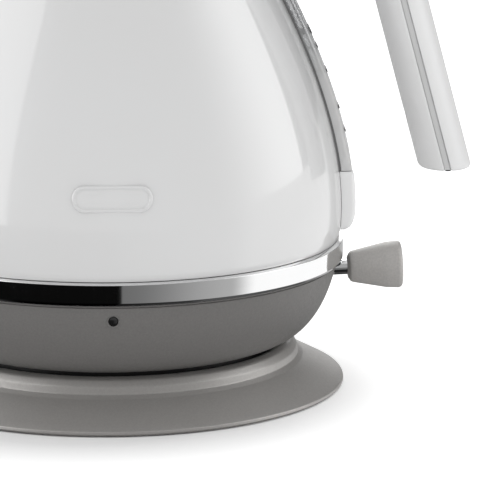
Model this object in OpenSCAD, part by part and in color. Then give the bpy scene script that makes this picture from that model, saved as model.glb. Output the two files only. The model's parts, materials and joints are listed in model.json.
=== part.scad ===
// Gooseneck kettle on a round cordless power base.
// Frame: millimetres, +Z up. The origin is on the kettle's own axis, on the table plane.
// The spout points along -X, the handle and the switch lever along +X, and the badge faces -Y.

/* [Power base] */
// Outer radius of the flared base rim
base_r = 85; // [84:1:90]
// Height of the base's top face, where the kettle stands
base_top = 17; // [16.5:0.1:17.3]
// Wall thickness of the moulded base
base_wall = 2.2; // [1.8:0.1:2.6]
// Radius of the round plug tower in the middle of the base
tower_r = 12.5; // [12:0.1:12.8]
// Radius of the cord that the gland takes
cord_r = 3; // [2.5:0.1:3.2]

/* [Lower body] */
// Radius of the grey cup at its top lip
cup_r = 82.5; // [82:0.1:82.8]
// Wall thickness of the grey cup
cup_wall = 2.4; // [2:0.1:2.6]
// Height of the cup's top lip
cup_top = 45.5; // [45.1:0.1:45.6]
// Largest radius of the polished band
band_r = 84.6; // [84:0.1:85.5]
// Height of the band's top edge
band_top = 54.3; // [53.8:0.1:54.4]

/* [Vessel] */
// Wall thickness of the pressed steel shell
shell_wall = 1.2; // [1:0.1:1.4]
// Outer radius of the shell at its neck
neck_r = 41; // [40:0.5:42]
// Height of the shell's top edge
neck_z = 203; // [200:0.5:205]
// Height of the badge's middle
badge_z = 83.5; // [80:0.5:90]
// Width of the badge
badge_w = 28; // [24:0.5:32]
// Height of the badge
badge_h = 9.2; // [8:0.1:11]

/* [Water window] */
// Full width of the clear window
window_w = 18; // [16:0.5:20]
// How far the window stands proud of the shell
window_proud = 4.3; // [4:0.1:5.5]
// Height of the window's lower end
window_low = 79; // [78:0.2:81]
// Height of the window's upper end
window_high = 168; // [160:1:170]
// Heights of the level marks, the fullest first
level_zs = [130.7, 124.8, 116, 102.7, 94.1];

/* [Spout] */
// Outer radius of the gooseneck at its root
spout_root_r = 11.8; // [11:0.1:11.9]
// Outer radius of the gooseneck at its mouth
spout_tip_r = 6.2; // [5.8:0.1:7]
// Wall thickness of the gooseneck
spout_wall = 1.2; // [1:0.1:1.3]
// Height of the spout's root above the table
spout_z = 90; // [88:0.5:92]

/* [Handle] */
// Thickness of the handle, measured outwards from the kettle
grip_t = 18.7; // [16:0.1:20]
// Width of the handle from side to side
grip_w = 29; // [24:0.5:32]
// How far the grip leans in towards the lid, in degrees
grip_lean = 15; // [12:0.5:18]
// Wall thickness of the handle's two shells
grip_wall = 2.6; // [2:0.1:3]
// Height of the handle's free lower end
grip_low = 79.2; // [76:0.2:84]

/* [Lever] */
// Distance of the lever's pivot from the kettle's axis
pivot_x = 72; // [71.5:0.1:72.5]
// Height of the lever's pivot
pivot_z = 40.8; // [40.6:0.1:41]
// How far the lever points up in its off position, in degrees
lever_rest = 2.5; // [2:0.1:3]
// Radius of the polished stem
stem_r = 2.8; // [2.4:0.1:2.9]
// Largest radius of the conical knobs
knob_r = 8.7; // [8:0.1:9]
// Length of the conical knobs
knob_len = 20; // [18:0.2:21]

/* [Hidden] */
$fn = 96;

GREY = [0.50, 0.49, 0.47];
WHITE = [0.93, 0.93, 0.93];
CHROME = [0.80, 0.80, 0.82];
BLACK = [0.10, 0.10, 0.11];
BRASS = [0.78, 0.62, 0.30];
SCREW = [0.60, 0.61, 0.63];

// Everything is drawn a little past the faces that it cuts
eps = 0.05;

// Base: crest of the roll under the kettle, bottom of the groove inside it, dish and plug hole
roll_r = 63.2;
groove_z = 13.6;
dish_r = 50;
dish_z = base_top - 1.8;
plug_hole_r = 17;
plate_r = 78.4;
plate_low = 0.9;
plate_t = 1.8;
foot_in = 66;
foot_out = 72;
base_screw_pcr = 40;
boss_z = 5.6;
gland_y = 67.8;
gland_len = 8.4;
gland_z = 4.2;
notch_w = 8;

// Plug and socket: radii from the middle outwards
pin_r = 1.5;
pin_bore_r = 2.7;
ring_slot_in = 7;
ring_slot_out = 9.8;
tower_top = 29;
socket_low = 17.6;
socket_top = 34;
socket_r = 20;

// Lower body
cup_floor = 17.3;
cup_hole_r = socket_r + 0.6;
cup_outline = [
    [cup_r, cup_top], [cup_r - 0.5, 43], [cup_r - 2.3, 38], [cup_r - 4.1, 33],
    [cup_r - 6.4, 28], [cup_r - 9.3, 24], [cup_r - 11.9, 21.3], [cup_r - 15.1, 19.1],
    [cup_r - 18.9, 17.9], [cup_r - 22, cup_floor]
];
band_low = 45.9;
chassis_r = 80;
chassis_top = 62;
plate_z = 50;
plate_rim_r = 74.2;
element_r = 48;
element_tube = 4;
spreader_r = 57;
post_r = 58;
tube_x = 30;
tube_r = 5;
control_r = 26;
lamp_z = 40.4;

// The vessel's outline: a full lower curve, then a hollow one up to the neck
waist = [63, 140.5];
lower_curve = [[83.2, 54.6], [87.6, 84], [73.5, 119], waist];
upper_curve = [waist, [53.2, 160.5], [neck_r + 1.5, 180], [neck_r, neck_z]];
lower_steps = 12;
upper_steps = 9;

// Window
gasket_t = 0.7;
window_t = 1.8;
slot_w = 13;

// Spout centre line in the XZ plane: a straight root, then three smooth stretches to the mouth
spout_in = -74;
spout_bend = -89;
swan = [
    [[spout_bend, spout_z], [-106, spout_z], [-117, 101], [-117, 122]],
    [[-117, 122], [-117, 145], [-104, 158], [-106, 180]],
    [[-106, 180], [-107.6, 198], [-122, 212], [-150, 206]]
];
swan_steps = 13;
spout_sides = 24;
spout_hole_r = spout_root_r + 0.15;

// Collar and lid
collar_in = 38.6;
collar_out = 46;
collar_top = 210;
lid_z = collar_top + 0.4;
lid_top = 219;

// Handle: straight grip, a bend and a short level arm to the bracket
bend_r = 26;
bend_x = 69.4;
arm_z = 201.3;
bend_angle = 90 - grip_lean;
grip_len = 118;
bracket_in = collar_out + 0.05;
bracket_out = 54;
arm_len = bend_x - bracket_out - 0.2;
arm_lap = 1;
arm_grow = 0.4;
spine_t = 2.2;
spine_recess = 0.9;
seam = 0.1;
grip_screw_seat = 3.2 - grip_t / 2;
bracket_core = 38;
tongue = [13, 12, 3.8];
tongue_off = 3.4;

// Lever: lengths measured from the pivot
pin_hole_r = 1.56;
lever_pin_r = 1.5;
hub_r = 4;
arm_reach = 22;
stem_reach = 20;
knob_start = 14.5;
slot_half = 3.4;
slot_low = 35.6;
plunger_x = 52;
plunger_r = 2.2;
box_top = 33;

function mix(a, b, t) = a + (b - a) * t;

// Point at t on a curve with four control points
function bezier(p, t) =
    pow(1 - t, 3) * p[0] + 3 * t * pow(1 - t, 2) * p[1]
    + 3 * t * t * (1 - t) * p[2] + pow(t, 3) * p[3];

function curve(p, n, first = 0) = [for (i = [first:n]) bezier(p, i / n)];

function reverse(list) = [for (i = [len(list) - 1:-1:0]) list[i]];

// The vessel's outer outline, moved outwards by d
function vessel(d = 0) =
    [for (p = concat(curve(lower_curve, lower_steps), curve(upper_curve, upper_steps, 1)))
        [p[0] + d, p[1]]];

// Radius of the vessel at height z, read off its outline
function vessel_r(z) = lookup(z, [for (p = vessel()) [p[1], p[0]]]);

// Closed oval with half sizes a and b
function oval(a, b, n = 40) =
    [for (i = [0:n - 1]) [a * cos(360 * i / n), b * sin(360 * i / n)]];

// A ring of revolution between two radii
module ring(r_in, r_out, z0, z1) {
    rotate_extrude()
        translate([r_in, z0])
            square([r_out - r_in, z1 - z0]);
}

// Copies its child n times round the axis
module around(n, start = 0) {
    for (i = [0:n - 1])
        rotate([0, 0, start + 360 * i / n])
            children();
}

// A pan head screw standing on its head, its head's underside at z = 0
module screw(shank_r, shank_len, head_r, head_h) {
    translate([0, 0, -head_h])
        cylinder(r = head_r, h = head_h);
    translate([0, 0, -eps])
        cylinder(r = shank_r, h = shank_len + eps);
}

// Solid of revolution inside the vessel's outline, moved out by d
module vessel_core(d) {
    line = vessel(d);
    rotate_extrude()
        polygon(concat([[0, line[0][1]]], line, [[0, neck_z]]));
}

// Layer that follows the vessel's surface, from d0 to d1 outside it
module vessel_layer(d0, d1) {
    rotate_extrude()
        polygon(concat(vessel(d1), reverse(vessel(d0))));
}

// Turns a drawing in the XZ plane into a slab that is w wide along Y
module slab(w) {
    translate([0, w / 2, 0])
        rotate([90, 0, 0])
            linear_extrude(w)
                children();
}

// Upright strip that follows the vessel's side on +X, d0 to d1 outside it
module side_strip(z0, z1, d0, d1, w) {
    steps = 12;
    zs = [for (i = [0:steps]) mix(z0, z1, i / steps)];
    slab(w)
        polygon(concat([for (z = zs) [vessel_r(z) + d1, z]],
                       [for (z = reverse(zs)) [vessel_r(z) + d0, z]]));
}

// ---------------------------------------------------------------- power base

module base_shell() {
    outline = [
        // flare, from the rim up to the crease under the roll
        [base_r - 3, 0.4], [base_r - 0.4, 0.4], [base_r, 0.9], [base_r - 0.3, 1.9],
        [base_r - 4.6, 4.2], [base_r - 10, 7], [base_r - 15, 9.7],
        // roll, and the groove inside it
        [roll_r + 5.1, 10.9], [roll_r + 4.6, 12.9], [roll_r + 3.7, 14.5],
        [roll_r + 2, 15.9], [roll_r, 16.5], [roll_r - 1.3, 15.9],
        [roll_r - 1.8, groove_z], [roll_r - 4.6, groove_z],
        // land that carries the kettle, and the dish
        [roll_r - 5, base_top - 0.6], [roll_r - 5.6, base_top], [dish_r + 2, base_top],
        [dish_r, dish_z], [plug_hole_r, dish_z],
        // back along the underside
        [plug_hole_r, dish_z - base_wall], [dish_r + 1, dish_z - base_wall],
        [dish_r + 3, base_top - base_wall], [roll_r - 7, base_top - base_wall],
        [roll_r - 6.8, groove_z - base_wall], [roll_r + 0.4, groove_z - base_wall],
        [roll_r + 2.3, 9.6], [73, 5.4], [79, 2.9]
    ];
    color(GREY)
        difference() {
            union() {
                rotate_extrude()
                    polygon(outline);
                around(3, 30)
                    translate([base_screw_pcr, 0, boss_z])
                        cylinder(r = 4, h = dish_z - base_wall - boss_z + eps);
            }
            around(3, 30)
                translate([base_screw_pcr, 0, boss_z - eps])
                    cylinder(r = 1.25, h = 6);
            gland_notch();
        }
}

// Arched way for the gland, open below and running out through the rim
module gland_notch() {
    translate([0, gland_y - 1, gland_z])
        rotate([-90, 0, 0])
            linear_extrude(base_r) {
                circle(r = notch_w / 2);
                translate([-notch_w / 2, 0])
                    square([notch_w, gland_z + 1]);
            }
}

module base_plate() {
    top = plate_low + plate_t;
    color(BLACK)
        difference() {
            union() {
                ring(0, plate_r, plate_low, top);
                around(3, 30)
                    translate([base_screw_pcr, 0, plate_low])
                        cylinder(r = 4.8, h = boss_z - 0.1 - plate_low);
            }
            ring(foot_in - 0.2, foot_out + 0.2, 0, plate_low + 1);
            around(3, 30)
                translate([base_screw_pcr, 0, -eps]) {
                    cylinder(r = 3.4, h = 3.8);
                    cylinder(r = 1.8, h = 8);
                }
            translate([-notch_w / 2, gland_y - 1, -1])
                cube([notch_w, base_r, 5]);
        }
}

module base_foot_ring() {
    color(BLACK)
        difference() {
            ring(foot_in, foot_out, 0, plate_low + 0.9);
            translate([-notch_w / 2, 0, -1])
                cube([notch_w, base_r, 5]);
        }
}

module base_screws() {
    color(SCREW)
        around(3, 30)
            translate([base_screw_pcr, 0, 3.7])
                screw(1.2, 6.6, 3, 1.8);
}

module connector_tower() {
    flange_top = dish_z - base_wall - 0.1;
    outline = [
        [0, 6], [22, 6], [22, flange_top], [plug_hole_r - 0.2, flange_top],
        [plug_hole_r - 0.2, dish_z + 1], [tower_r, dish_z + 2.2], [tower_r, tower_top - 1],
        [tower_r - 1, tower_top], [ring_slot_out, tower_top], [ring_slot_out, 12],
        [ring_slot_in, 12], [ring_slot_in, tower_top], [pin_bore_r, tower_top],
        [pin_bore_r, 10], [0, 10]
    ];
    color(BLACK)
        rotate_extrude()
            polygon(outline);
}

module contact_pin() {
    color(BRASS)
        rotate_extrude()
            polygon([[0, 10], [pin_r, 10], [pin_r, 26.6], [pin_r - 0.6, 27.4], [0, 27.4]]);
}

module contact_ring() {
    color(BRASS)
        ring(ring_slot_in, ring_slot_in + 0.6, 12, 26);
}

module cord_gland() {
    color(BLACK)
        translate([0, gland_y, gland_z])
            rotate([-90, 0, 0])
                ring(cord_r, notch_w / 2 - 0.1, 0, gland_len);
}

// ------------------------------------------------------------ kettle socket

module kettle_socket() {
    outline = [
        [tower_r + 0.7, socket_low], [socket_r, socket_low], [socket_r, socket_top],
        [0, socket_top], [0, tower_top + 0.8], [tower_r + 0.7, tower_top + 0.8]
    ];
    color(BLACK)
        rotate_extrude()
            polygon(outline);
}

module socket_contacts() {
    top = tower_top + 0.8;
    color(BRASS) {
        ring(pin_r + 0.3, pin_bore_r - 0.3, 20, top);
        ring(ring_slot_in + 1.2, ring_slot_out - 0.5, 20, top);
    }
}

// --------------------------------------------------------------- lower body

module bottom_cup() {
    inner = [for (p = cup_outline) [p[0] - cup_wall, max(p[1], cup_floor + cup_wall)]];
    color(GREY)
        difference() {
            rotate_extrude()
                polygon(concat([[cup_hole_r, cup_floor + cup_wall], [cup_hole_r, cup_floor]],
                               reverse(cup_outline), inner));
            // slot that the lever swings in
            translate([70, -slot_half, slot_low])
                cube([20, 2 * slot_half, cup_top]);
            // hole for the lamp lens
            translate([0, -70, lamp_z])
                rotate([90, 0, 0])
                    cylinder(r = 2.3, h = 20);
            around(3, 60)
                translate([post_r, 0, cup_floor - 1]) {
                    cylinder(r = 1.8, h = 6);
                    cylinder(r = 3.3, h = 2);
                }
        }
}

module chrome_band() {
    outline = [
        [chassis_r + 0.3, band_low], [band_r - 0.9, band_low], [band_r - 0.25, band_low + 0.5],
        [band_r, band_low + 1.6], [band_r, band_top - 1.1], [band_r - 0.3, band_top - 0.7],
        [band_r - 1.4, band_top - 0.15], [band_r - 2.2, band_top], [chassis_r + 0.3, band_top]
    ];
    color(CHROME)
        rotate_extrude()
            polygon(outline);
}

module body_shell() {
    color(WHITE)
        difference() {
            vessel_layer(-shell_wall, 0);
            // slot behind the water window
            translate([0, -slot_w / 2, window_low + 6])
                cube([100, slot_w, window_high - window_low - 12]);
            // hole at the root of the spout
            translate([spout_in + 4, 0, spout_z])
                rotate([0, -90, 0])
                    cylinder(r = spout_hole_r, h = 30);
        }
}

module chassis_ring() {
    inner = plate_rim_r + 1.9;
    low = cup_top + 0.1;
    outline = [
        [inner, chassis_top], [inner, plate_z], [77.4, plate_z], [77.4, low],
        [chassis_r, low], [chassis_r, 54.4], [81.6, 54.8], [81.6, chassis_top]
    ];
    color(BLACK)
        rotate_extrude()
            polygon(outline);
}

module carrier_ring() {
    low = cup_floor + cup_wall + 0.1;
    color(BLACK)
        difference() {
            union() {
                ring(spreader_r + 1, 77.2, plate_z - 1.8, plate_z - 0.1);
                around(3, 60)
                    translate([post_r, 0, low])
                        cylinder(r = 4, h = plate_z - 1 - low);
            }
            around(3, 60)
                translate([post_r, 0, low - eps])
                    cylinder(r = 1.3, h = 16);
            cylinder_z(spreader_r + 0.3, plate_z - 2.3, plate_z + 1);
        }
}

module cup_screws() {
    color(SCREW)
        around(3, 60)
            translate([post_r, 0, cup_floor + 1])
                screw(1.2, 14, 3, 0.8);
}

module heating_plate() {
    outline = [
        [0, plate_z], [plate_rim_r, plate_z], [plate_rim_r, 59], [plate_rim_r - 1, 59],
        [plate_rim_r - 1, plate_z + 1], [0, plate_z + 1]
    ];
    color(CHROME)
        difference() {
            rotate_extrude()
                polygon(outline);
            translate([tube_x, 0, plate_z - 1])
                cylinder(r = tube_r + 0.15, h = 3);
        }
}

module plate_seal() {
    color(BLACK)
        ring(plate_rim_r + 0.1, plate_rim_r + 1.8, plate_z + 0.1, 60);
}

module heat_spreader() {
    color(SCREW)
        difference() {
            ring(0, spreader_r, plate_z - 2, plate_z);
            translate([tube_x, 0, plate_z - 3])
                cylinder(r = tube_r + 0.15, h = 4);
        }
}

module heating_element() {
    level = plate_z - 2 - element_tube - 0.1;
    color(SCREW) {
        translate([0, 0, level])
            rotate([0, 0, 35])
                rotate_extrude(angle = 290)
                    translate([element_r, 0])
                        circle(r = element_tube);
        for (side = [-1, 1])
            rotate([0, 0, side * 38])
                translate([element_r, 0, 0])
                    cylinder_z(2, 30, level);
    }
}

module control_unit() {
    color(BLACK)
        difference() {
            union() {
                cylinder_z(control_r, socket_top + 0.8, 42.6);
                cylinder_z(12, 42, 46.4);
                around(3, 90)
                    translate([22, 0, 0])
                        cylinder_z(3, 42, plate_z - 2.1);
            }
            translate([tube_x, 0, 30])
                cylinder(r = tube_r + 1, h = 30);
        }
}

// A plain round bar between two heights
module cylinder_z(r, z0, z1) {
    translate([0, 0, z0])
        cylinder(r = r, h = z1 - z0);
}

module bimetal_disc() {
    color(BRASS)
        rotate_extrude()
            polygon([[0, 47.2], [5, 47.0], [9.5, 46.5], [9.5, 46.9], [5, 47.4], [0, 47.6]]);
}

module indicator_lens() {
    front = 81.3;
    color("black")
        translate([0, 0, lamp_z])
            rotate([90, 0, 0])
                rotate_extrude()
                    polygon([[0, 76], [3.2, 76], [3.2, 77.2], [2.1, 77.8], [2.1, front - 0.7],
                             [1.5, front - 0.2], [0, front]]);
}

module indicator_lamp() {
    color("orangered")
        translate([0, -66, lamp_z])
            rotate([90, 0, 0])
                cylinder(r = 1.9, h = 9.6);
}

module steam_tube() {
    color(WHITE)
        translate([tube_x, 0, 44])
            difference() {
                cylinder(r = tube_r, h = 146);
                translate([0, 0, -1])
                    cylinder(r = tube_r - 1.2, h = 148);
            }
}

// Flat pill outline with its middle at the origin
module pill(w, h) {
    translate([-(w - h) / 2, -h / 2])
        square([w - h, h]);
    for (side = [-1, 1])
        translate([side * (w - h) / 2, 0])
            circle(r = h / 2);
}

// Pill-shaped plug through the front wall at the badge's height
module badge_plug(w, h) {
    translate([0, -70, badge_z])
        rotate([90, 0, 0])
            linear_extrude(20)
                pill(w, h);
}

module badge() {
    rim = 1.3;
    color(WHITE)
        difference() {
            intersection() {
                badge_plug(badge_w, badge_h);
                vessel_layer(0.03, 1.1);
            }
            intersection() {
                badge_plug(badge_w - 2 * rim, badge_h - 2 * rim);
                vessel_layer(0.6, 3);
            }
        }
}

// ------------------------------------------------------------- water window

module water_window() {
    color([0.80, 0.82, 0.84, 0.5])
        difference() {
            side_strip(window_low, window_high, -6, window_proud, window_w);
            side_strip(window_low + window_t, window_high - window_t, -8,
                       window_proud - window_t, window_w - 2 * window_t - 1);
            vessel_core(gasket_t + 0.05);
        }
}

module window_gasket() {
    color([0.30, 0.30, 0.31])
        difference() {
            intersection() {
                side_strip(window_low, window_high, -3, 3, window_w);
                vessel_layer(0.03, gasket_t);
            }
            side_strip(window_low + window_t, window_high - window_t, -8, 8,
                       window_w - 2 * window_t - 1);
        }
}

module window_foot() {
    low = 57;
    top = window_low - 0.2;
    bulge = vessel_r(66) + 4.8;
    color(WHITE)
        difference() {
            slab(window_w + 1)
                polygon([[75, low], [vessel_r(low) + 1.4, low], [bulge - 1.6, low + 1.6],
                         [bulge - 0.5, low + 4.4], [bulge, low + 8], [bulge, low + 15],
                         [bulge - 0.6, top], [75, top]]);
            vessel_core(0.08);
        }
}

module level_marks() {
    color([0.2, 0.2, 0.2])
        for (i = [0:len(level_zs) - 1]) {
            z = level_zs[i];
            tall = i == 0 ? 2.4 : 1.1;
            translate([0, -window_w / 2 + 4.5, 0])
                side_strip(z - tall / 2, z + tall / 2, window_proud + 0.02,
                           window_proud + 0.3, 8.6);
        }
}

// -------------------------------------------------------------------- spout

function swan_point(u) =
    let (k = min(len(swan) - 1, floor(u)))
    bezier(swan[k], u - k);

swan_line = concat([[spout_in, spout_z]],
                   [for (i = [0:len(swan) * swan_steps]) swan_point(i / swan_steps)]);

// Unit direction of the centre line at point i
function swan_dir(i) =
    let (last = len(swan_line) - 1,
         d = swan_line[min(i + 1, last)] - swan_line[max(i - 1, 0)])
    d / norm(d);

// The tube narrows evenly from root to mouth after its first straight stretch
function spout_r(i) =
    let (t = max(0, (i - 3) / (len(swan_line) - 4)))
    mix(spout_root_r, spout_tip_r, pow(t, 0.85));

// Ring of points round centre line point i
function spout_ring(i, r) =
    let (p = swan_line[i], d = swan_dir(i))
    [for (k = [0:spout_sides - 1])
        let (a = 360 * k / spout_sides, s = r * cos(a))
        [p[0] - d[1] * s, r * sin(a), p[1] + d[0] * s]];

module spout_tube() {
    n = spout_sides;
    m = len(swan_line);
    points = [for (wall = [0, spout_wall], i = [0:m - 1])
                 each spout_ring(i, spout_r(i) - wall)];
    // index of point k of ring i, on the outer wall (w = 0) or the inner one (w = 1)
    function at(w, i, k) = (w * m + i) * n + k % n;
    outer = [for (i = [0:m - 2], k = [0:n - 1])
                [at(0, i, k), at(0, i, k + 1), at(0, i + 1, k + 1), at(0, i + 1, k)]];
    inner = [for (i = [0:m - 2], k = [0:n - 1])
                [at(1, i, k), at(1, i + 1, k), at(1, i + 1, k + 1), at(1, i, k + 1)]];
    root = [for (k = [0:n - 1])
               [at(0, 0, k), at(1, 0, k), at(1, 0, k + 1), at(0, 0, k + 1)]];
    mouth = [for (k = [0:n - 1])
                [at(0, m - 1, k), at(0, m - 1, k + 1), at(1, m - 1, k + 1), at(1, m - 1, k)]];
    color(WHITE)
        polyhedron(points, concat(outer, inner, root, mouth));
}

module spout_flange() {
    color(CHROME)
        difference() {
            translate([spout_in, 0, spout_z])
                rotate([0, -90, 0]) {
                    cylinder(r = 18, h = 11);
                    translate([0, 0, 11])
                        cylinder(r1 = 18, r2 = 15.5, h = 2.5);
                }
            vessel_core(0.1);
            translate([-60, 0, spout_z])
                rotate([0, -90, 0])
                    cylinder(r = spout_hole_r, h = 40);
        }
}

module spout_tip_ring() {
    last = len(swan_line) - 1;
    d = swan_dir(last);
    color(CHROME)
        translate([swan_line[last][0], 0, swan_line[last][1]])
            rotate([0, atan2(d[0], d[1]), 0])
                ring(spout_tip_r + 0.3, spout_tip_r + 1.2, -5, 0);
}

module spout_strainer() {
    color(CHROME)
        translate([spout_in + 0.1, 0, spout_z])
            rotate([0, 90, 0])
                difference() {
                    cylinder(r = 12.5, h = 0.8);
                    for (n = [1:3], i = [0:6 * n - 1])
                        rotate([0, 0, 60 * i / n])
                            translate([3.1 * n, 0, -1])
                                cylinder(r = 1, h = 3);
                    translate([0, 0, -1])
                        cylinder(r = 1, h = 3);
                }
}

// --------------------------------------------------------- collar and handle

module top_collar() {
    outline = [
        [collar_in, neck_z + 0.3], [neck_r + 0.3, neck_z + 0.3], [neck_r + 0.9, 195],
        [collar_out - 1.2, 196], [collar_out, 198], [collar_out, collar_top - 2],
        [collar_out - 1.4, collar_top], [collar_in + 1.4, collar_top],
        [collar_in, collar_top - 1.4]
    ];
    color(CHROME)
        rotate_extrude()
            polygon(outline);
}

// Runs a flat section down the grip and round its bend: +x of the section faces outwards
module along_grip() {
    translate([bend_x, 0, arm_z - bend_r])
        rotate([90, 0, 0])
            rotate([0, 0, grip_lean]) {
                rotate([90, 0, 0])
                    linear_extrude(grip_len)
                        translate([bend_r, 0])
                            children();
                rotate_extrude(angle = bend_angle)
                    translate([bend_r, 0])
                        children();
            }
}

// Runs a flat section along the level arm, lapping the end of the bend
module along_arm() {
    translate([bend_x + arm_lap, 0, arm_z])
        rotate([0, -90, 0])
            linear_extrude(arm_len + arm_lap)
                children();
}

// The grip's oval on one side of its seam. The arm's wall is thicker by grow on each face.
module grip_section(side, hollow, grow = 0) {
    start = spine_t / 2 + seam + grow / 3;
    difference() {
        intersection() {
            polygon(oval(grip_t / 2 + grow, grip_w / 2 + grow));
            translate([side > 0 ? start : -start - 30, -30])
                square([30, 60]);
        }
        if (hollow)
            polygon(oval(grip_t / 2 - grip_wall - grow, grip_w / 2 - grip_wall - grow));
    }
}

module grip_half(side) {
    difference() {
        union() {
            along_grip()
                grip_section(side, true);
            along_arm()
                grip_section(side, true, arm_grow);
            intersection() {
                along_grip()
                    grip_section(side, false);
                translate([60, -30, grip_low])
                    cube([100, 60, grip_wall]);
            }
        }
        translate([60, -30, grip_low - 40])
            cube([100, 60, 40]);
    }
}

// Puts its child on the grip's centre line, s below the bend, its z pointing outwards
module on_grip(s) {
    translate([bend_x, 0, arm_z - bend_r])
        rotate([0, -grip_lean, 0])
            translate([bend_r, 0, -s])
                rotate([0, 90, 0])
                    children();
}

module grip_screw_places() {
    for (s = [22, 84])
        on_grip(s)
            children();
}

module handle_bracket() {
    color(WHITE)
        difference() {
            union() {
                translate([bracket_out, 0, arm_z])
                    rotate([0, -90, 0])
                        linear_extrude(bracket_out - bracket_core)
                            polygon(oval(grip_t / 2 + arm_grow, grip_w / 2 + arm_grow));
                // tongues that reach into the two hollow shells
                for (side = [-1, 1])
                    translate([bracket_out - 2, -tongue[1] / 2,
                               arm_z + side * tongue_off - tongue[2] / 2])
                        cube(tongue);
            }
            cylinder_z(bracket_in, 180, 220);
        }
}

// Flat bar between the two shells, thinner by shrink on each face
module spine_section(shrink) {
    t = spine_t - 2 * shrink;
    w = grip_w - 2 * spine_recess - 2 * shrink;
    translate([-t / 2, -w / 2])
        square([t, w]);
}

module handle_spine() {
    color([0.80, 0.80, 0.80])
        difference() {
            union() {
                along_grip()
                    spine_section(0);
                along_arm()
                    spine_section(arm_grow);
            }
            translate([60, -30, grip_low - 40])
                cube([100, 60, 40.6]);
            grip_screw_places()
                translate([0, 0, -10])
                    cylinder(r = 1.8, h = 20);
        }
}

module handle_inner() {
    color(WHITE)
        difference() {
            union() {
                grip_half(-1);
                grip_screw_places()
                    translate([0, 0, -grip_t / 2 + 1])
                        cylinder(r = 4, h = grip_t / 2 - 1 - spine_t / 2 - seam);
            }
            grip_screw_places()
                translate([0, 0, -grip_t]) {
                    cylinder(r = 1.7, h = 2 * grip_t);
                    cylinder(r = 3.2, h = grip_t + grip_screw_seat);
                }
        }
}

module handle_outer() {
    low = spine_t / 2 + seam;
    color(WHITE)
        difference() {
            union() {
                grip_half(1);
                grip_screw_places()
                    translate([0, 0, low])
                        cylinder(r = 3.6, h = grip_t / 2 - 1 - low);
            }
            grip_screw_places()
                translate([0, 0, -1])
                    cylinder(r = 1.3, h = grip_t / 2 - 1);
        }
}

module handle_screws() {
    color(SCREW)
        grip_screw_places()
            translate([0, 0, grip_screw_seat - 0.05])
                screw(1.2, 12, 3, 1.8);
}

// -------------------------------------------------------------------- lever

// Puts its child in the lever's own frame: pivot at the origin, stem along +X
module at_pivot() {
    translate([pivot_x, 0, pivot_z])
        rotate([0, -lever_rest, 0])
            children();
}

module across(r, half) {
    rotate([90, 0, 0])
        translate([0, 0, -half])
            cylinder(r = r, h = 2 * half);
}

module lever_bracket() {
    low = cup_floor + cup_wall + 0.1;
    color(BLACK)
        difference() {
            union() {
                for (side = [-1, 1])
                    translate([0, side * 5.6, 0])
                        slab(2.6)
                            polygon([[58.5, low], [62.5, low], [67, 25.5], [73, 34], [75.6, 38],
                                     [75.6, 44.6], [68.5, 44.6], [66, 36], [58.5, 30]]);
                translate([59, -5, low])
                    cube([4, 10, 8]);
            }
            translate([pivot_x, 0, pivot_z])
                across(lever_pin_r + 0.02, 20);
        }
}

module lever_pin() {
    color(CHROME)
        translate([pivot_x, 0, pivot_z])
            across(lever_pin_r, 7.4);
}

module lever_stem() {
    color(CHROME)
        at_pivot()
            difference() {
                union() {
                    across(hub_r, 3.9);
                    translate([2, 0, 0])
                        rotate([0, 90, 0])
                            cylinder(r = stem_r, h = stem_reach - 2);
                    translate([-arm_reach, -2.5, -1.5])
                        cube([arm_reach - 2, 5, 3]);
                }
                across(pin_hole_r, 20);
            }
}

// Conical knob turned about +Z, its small end at z = 0, with a blind hole for its stem
module knob(hole_deep) {
    small = knob_r - 3;
    difference() {
        rotate_extrude()
            polygon([[0, 0], [small - 2, 0], [small - 1.3, 0.2], [small - 0.3, 0.9],
                     [small + 0.1, 1.8],
                     [knob_r - 0.3, knob_len * 0.7], [knob_r, knob_len - 1.6],
                     [knob_r - 0.2, knob_len - 0.6], [knob_r - 1, knob_len],
                     [0, knob_len + 0.3]]);
        translate([0, 0, -1])
            cylinder(r = stem_r + 0.05, h = hole_deep + 1);
    }
}

module lever_knob() {
    color(GREY)
        at_pivot()
            translate([knob_start, 0, 0])
                rotate([0, 90, 0])
                    knob(stem_reach - knob_start + 0.1);
}

module switch_box() {
    low = cup_floor + cup_wall + 0.1;
    color(BLACK)
        difference() {
            translate([plunger_x - 6, -6, low])
                cube([12, 12, box_top - low]);
            translate([plunger_x, 0, 24])
                cylinder(r = plunger_r + 0.1, h = 20);
        }
}

module switch_plunger() {
    color(WHITE)
        translate([plunger_x, 0, 25])
            rotate_extrude()
                polygon([[0, 0], [plunger_r, 0], [plunger_r, 11.8], [plunger_r - 0.8, 12.8],
                         [0, 12.8]]);
}

// ---------------------------------------------------------------------- lid

module lid_cap() {
    edge = collar_out - 1;
    color(WHITE)
        rotate_extrude()
            polygon([[3, lid_top - 0.2], [12, lid_top - 0.4], [24, lid_top - 1.8],
                     [34, lid_top - 4], [40, lid_top - 6], [edge - 0.6, lid_z + 0.9],
                     [edge, lid_z], [edge - 6, lid_z], [34, lid_top - 5.8],
                     [24, lid_top - 3.6], [12, lid_top - 2.2], [3, lid_top - 2]]);
}

module lid_plug() {
    r = collar_in - 0.7;
    color(BLACK)
        rotate_extrude()
            polygon([[3, 198], [r - 2, 198], [r, 199.4], [r, 202.4], [r - 1.4, 202.6],
                     [r - 1.4, 205.4], [r, 205.6], [r, lid_z - 0.1], [r + 0.2, lid_z + 0.1],
                     [r - 2, lid_z + 0.8], [r - 2.2, 200], [6, 200], [6, lid_top - 2.2],
                     [3, lid_top - 2.2]]);
}

module lid_seal() {
    r = collar_in - 0.7;
    color([0.75, 0.75, 0.75])
        rotate_extrude()
            polygon([[r - 1.3, 202.7], [r - 0.2, 202.7], [r + 0.35, 203.6], [r + 0.35, 204.4],
                     [r - 0.2, 205.3], [r - 1.3, 205.3]]);
}

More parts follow.
